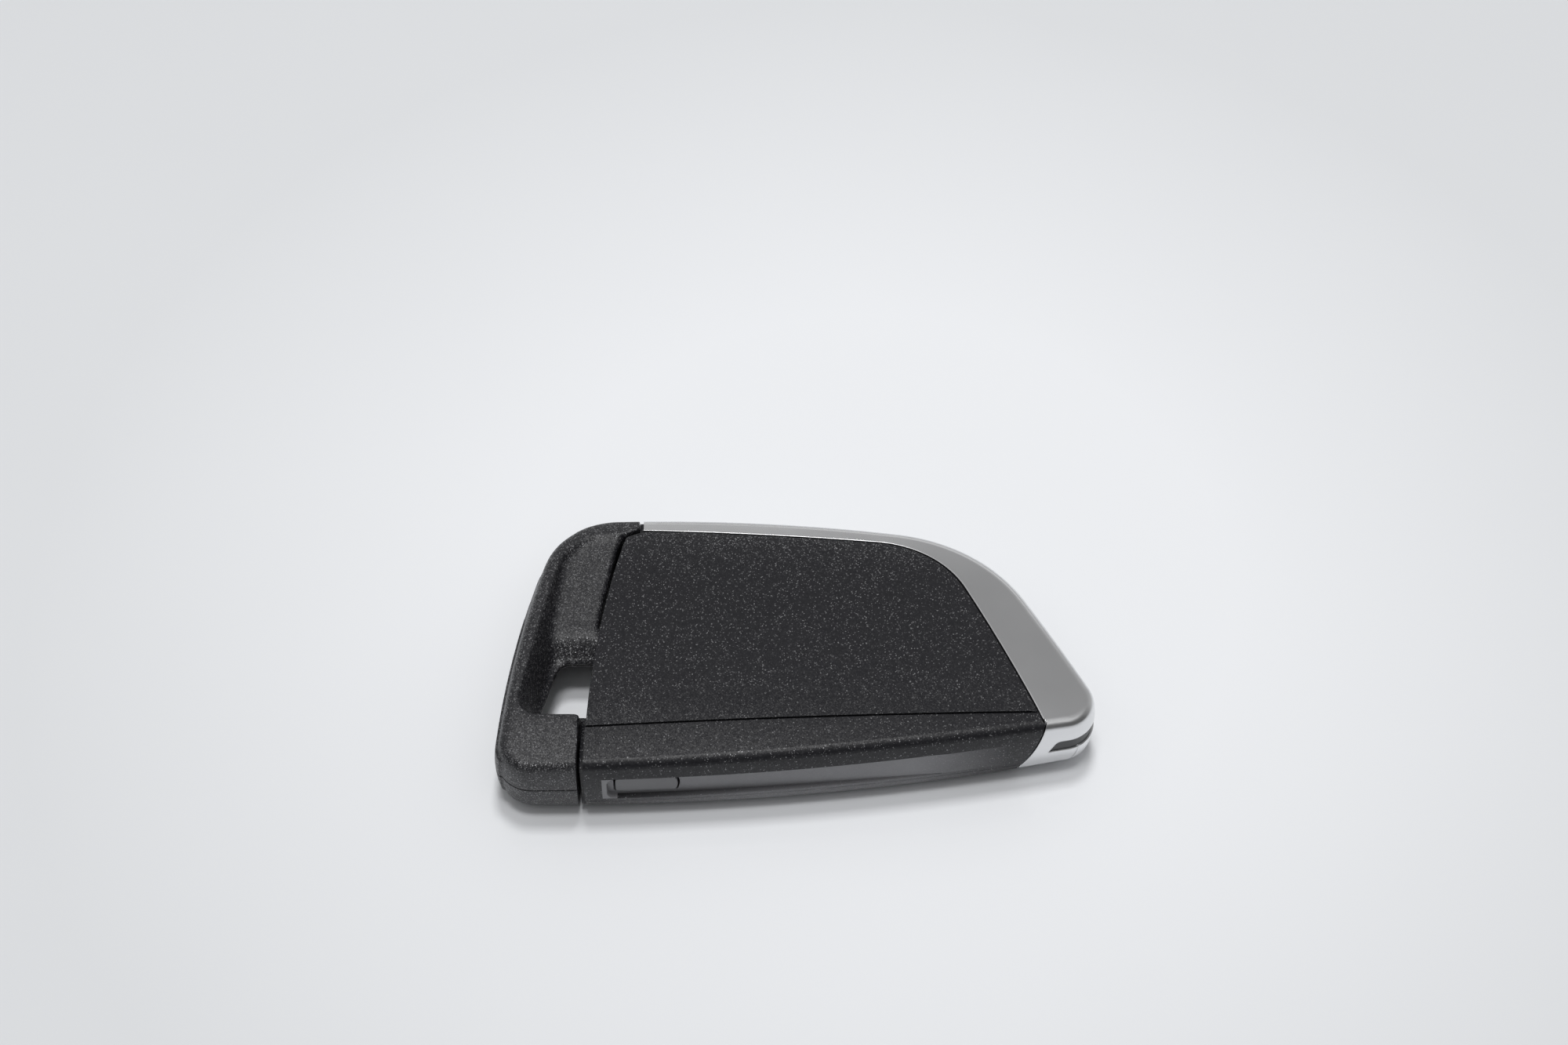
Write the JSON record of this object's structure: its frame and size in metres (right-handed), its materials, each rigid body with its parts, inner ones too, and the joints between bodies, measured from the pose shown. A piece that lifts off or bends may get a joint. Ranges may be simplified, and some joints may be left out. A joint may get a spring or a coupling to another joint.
{
  "type": "car key fob",
  "caption": "Keyless car fob with a lift-off battery cover, push buttons, a metal edge trim and a slide-out emergency key whose dished head holds the key-ring hole.",
  "frame": {"origin": "centre of the fob's footprint, on the surface that it lies on", "axes": "+X towards the metal tip, +Y towards the long metal edge, +Z out of the battery cover"},
  "size_m": [0.087, 0.0459, 0.0145],
  "materials": {
    "shell_black": "fine grained satin black",
    "cover_black": "textured satin black with fine sparkle",
    "head_black": "fine grained satin black",
    "button_black": "smooth satin black",
    "satin_metal": "satin faces with polished edges",
    "insert_grey": "dark satin grey",
    "board_green": "solder mask",
    "chip_black": "moulded",
    "ceramic_tan": "fired",
    "silicone_grey": "soft moulded",
    "steel": "fine ground",
    "copper": "enamelled wire"
  },
  "bodies": {
    "body": {"back_shell": "shell_black", "front_shell": "shell_black", "metal_trim": "satin_metal", "trim_insert": "insert_grey", "circuit_board": "board_green", "microcontroller": "chip_black", "radio_chip": "chip_black", "crystal_can": "steel", "antenna_coil": "copper", "chip_capacitors": "ceramic_tan", "face_switches": "steel", "side_switch": "steel", "keypad_mat": "silicone_grey", "coin_cell": "steel", "positive_contact": "steel", "negative_contact": "steel"},
    "cover": {"battery_cover": "cover_black"},
    "emergency_key": {"head_upper_shell": "head_black", "head_lower_shell": "head_black", "key_blade": "steel", "blade_pin": "steel"},
    "release": {"release_button": "button_black", "release_latch": "steel", "release_spring": "steel"},
    "lock": {"lock_button": "button_black"},
    "unlock": {"unlock_button": "button_black"},
    "boot": {"boot_button": "button_black"},
    "side": {"side_button": "button_black"}
  },
  "joints": [
    {"name": "key_slide", "type": "slide", "parent": "body", "child": "emergency_key", "axis": [-1, 0, 0], "range_m": [0, 0.05]},
    {"name": "cover_lift", "type": "slide", "parent": "body", "child": "cover", "axis": [0, 0, 1], "range_m": [0, 0.02]},
    {"name": "release_press", "type": "slide", "parent": "body", "child": "release", "axis": [0, 1, 0], "range_m": [0, 0.001], "stiffness_N_per_m": 800, "deforming": ["release_spring"]},
    {"name": "lock_press", "type": "slide", "parent": "body", "child": "lock", "axis": [0, 0, 1], "range_m": [0, 0.0004], "stiffness_N_per_m": 1500},
    {"name": "unlock_press", "type": "slide", "parent": "body", "child": "unlock", "axis": [0, 0, 1], "range_m": [0, 0.0004], "stiffness_N_per_m": 1500},
    {"name": "boot_press", "type": "slide", "parent": "body", "child": "boot", "axis": [0, 0, 1], "range_m": [0, 0.0004], "stiffness_N_per_m": 1500},
    {"name": "side_press", "type": "slide", "parent": "body", "child": "side", "axis": [0, -1, 0], "range_m": [0, 0.0004], "stiffness_N_per_m": 1500}
  ]
}
